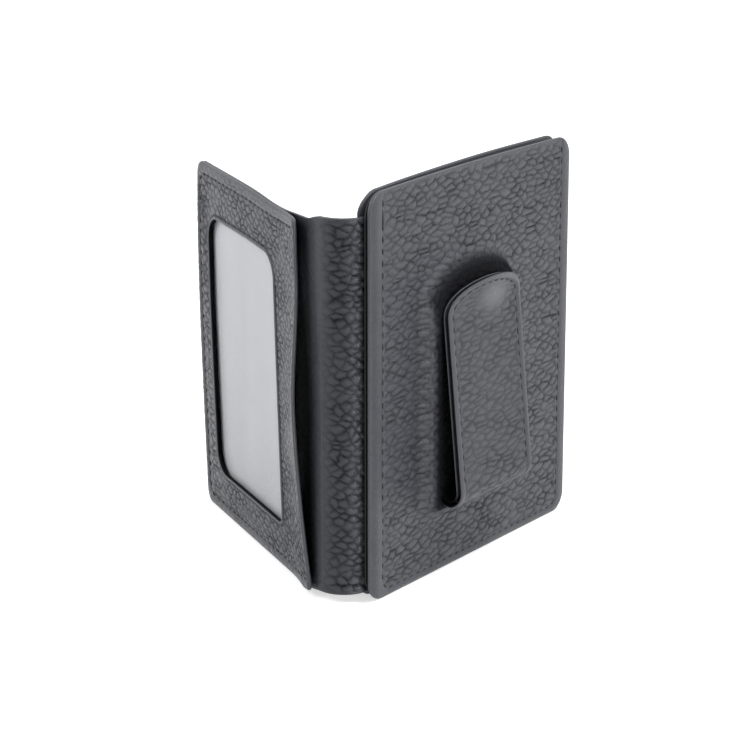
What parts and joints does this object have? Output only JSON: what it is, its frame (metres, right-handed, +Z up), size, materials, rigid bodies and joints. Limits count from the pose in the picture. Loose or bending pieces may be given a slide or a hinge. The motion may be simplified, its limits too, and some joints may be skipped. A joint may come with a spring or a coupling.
{
  "type": "money clip wallet",
  "caption": "Black pebbled leather bifold wallet standing open, with a framed clear window on one cover and a leather covered spring money clip on the other half.",
  "frame": {"origin": "middle of the clip panel's lower edge, on the surface that the open wallet stands on", "axes": "+Z up along the spine; +X along the clip half, away from the spine; -Y out of the clip half's outer face"},
  "size_m": [0.1035, 0.1004, 0.11],
  "materials": {
    "leather": "black pebbled leather, soft satin",
    "dark_lining": "black woven lining",
    "pale_lining": "pale grey smooth lining",
    "window_film": "clear glossy film",
    "stiffener_board": "pressed grey board",
    "spring_steel": "bare spring steel",
    "thread": "black bonded thread"
  },
  "bodies": {
    "clip_half": {"clip_panel_leather": "leather", "clip_panel_board": "stiffener_board", "clip_panel_lining": "dark_lining", "clip_panel_thread": "thread", "clip_spring_base": "spring_steel", "clip_bend_leather": "leather", "clip_bend_backing": "leather", "spine_tongue": "leather", "pocket_bottom_welt": "leather", "pocket_side_welt": "leather", "pocket_back_leather": "leather", "card_slot_rear": "leather", "card_slot_middle": "leather", "card_slot_front": "leather"},
    "spine": {"spine_leather": "leather", "spine_lining": "dark_lining"},
    "id_half": {"id_cover_leather": "leather", "id_pocket_lining": "pale_lining", "id_window_film": "window_film", "id_frame_leather": "leather", "id_frame_thread": "thread", "id_inner_lining": "dark_lining", "id_slip_pocket_rear": "leather", "id_slip_pocket_front": "leather"},
    "clip_leaf": {"clip_leaf_spring": "spring_steel", "clip_leaf_leather": "leather", "clip_leaf_backing": "leather", "clip_leaf_thread": "thread"}
  },
  "joints": [
    {"name": "spine_fold", "type": "hinge", "parent": "clip_half", "child": "spine", "pos_m": [-0.0491, 0.00385, 0.0529], "axis": [0, 0, 1], "range_deg": [-13.3, 76.7]},
    {"name": "id_fold", "type": "hinge", "parent": "spine", "child": "id_half", "pos_m": [-0.05154, 0.01418, 0.0529], "axis": [0, 0, 1], "range_deg": [-44.2, 45.8]},
    {"name": "clip_spring", "type": "hinge", "parent": "clip_half", "child": "clip_leaf", "pos_m": [-0.0039, -0.0066, 0.0213], "axis": [1, 0, 0], "range_deg": [0, 12], "stiffness_Nm_per_rad": 2}
  ]
}
